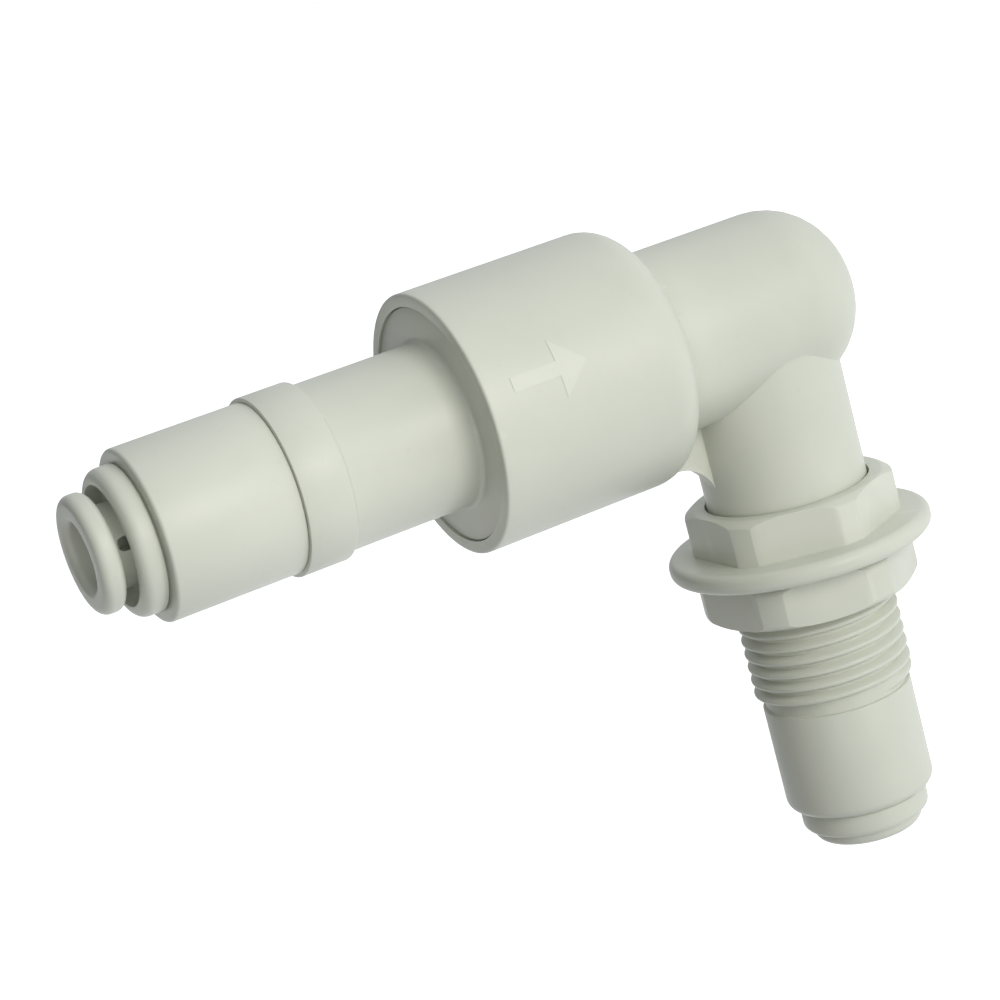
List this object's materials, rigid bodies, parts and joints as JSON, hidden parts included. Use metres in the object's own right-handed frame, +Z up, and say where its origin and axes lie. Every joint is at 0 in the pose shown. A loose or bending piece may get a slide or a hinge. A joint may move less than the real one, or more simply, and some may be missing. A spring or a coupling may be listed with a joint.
{
  "type": "push to connect fitting",
  "caption": "Push to connect bulkhead elbow with a non-return valve housing, release collets, a swivelling drop, pipe thread and hexagon locknut",
  "frame": {"origin": "centre of the panel flange's lower face, on the axis of the bulkhead thread", "axes": "+Z up the vertical arm to the elbow, the inlet arm points along -X, +Y completes a right-handed set"},
  "size_m": [0.1085, 0.0344, 0.0876],
  "materials": {
    "grey_acetal": "satin moulded",
    "seal_rubber": "smooth",
    "stainless": "bright"
  },
  "bodies": {
    "bulkhead": {"bulkhead_body": "grey_acetal", "threaded_sleeve": "grey_acetal", "outlet_end_cap": "grey_acetal", "outlet_spacer_ring": "grey_acetal", "outlet_tube_seal": "seal_rubber", "swivel_snap_ring": "grey_acetal"},
    "elbow": {"elbow_body": "grey_acetal", "swivel_stem": "grey_acetal", "valve_plug": "grey_acetal", "inlet_barrel": "grey_acetal", "inlet_end_cap": "grey_acetal", "inlet_spacer_ring": "grey_acetal", "inlet_tube_seal": "seal_rubber", "barrel_seal": "seal_rubber", "plug_seal": "seal_rubber", "swivel_seal_upper": "seal_rubber", "swivel_seal_lower": "seal_rubber", "valve_spring": "stainless", "valve_guide": "grey_acetal"},
    "valve": {"poppet": "grey_acetal", "poppet_seal": "seal_rubber"},
    "inlet_release": {"inlet_collet": "grey_acetal", "inlet_collet_teeth": "stainless"},
    "outlet_release": {"outlet_collet": "grey_acetal", "outlet_collet_teeth": "stainless"},
    "nut": {"locknut": "grey_acetal"}
  },
  "joints": [
    {"name": "elbow_swivel", "type": "hinge", "parent": "bulkhead", "child": "elbow", "pos_m": [0, 0, 0], "axis": [0, 0, 1], "continuous": true},
    {"name": "inlet_collet_press", "type": "slide", "parent": "elbow", "child": "inlet_release", "axis": [1, 0, 0], "range_m": [0, 0.003]},
    {"name": "outlet_collet_return", "type": "slide", "parent": "bulkhead", "child": "outlet_release", "axis": [0, 0, -1], "range_m": [-0.00075, 0.00225]},
    {"name": "poppet_lift", "type": "slide", "parent": "elbow", "child": "valve", "axis": [1, 0, 0], "range_m": [0, 0.004], "stiffness_N_per_m": 150, "springref_m": -0.002, "deforming": ["valve_spring"]},
    {"name": "locknut_travel", "type": "slide", "parent": "bulkhead", "child": "nut", "axis": [0, 0, -1], "range_m": [0, 0.013]}
  ]
}
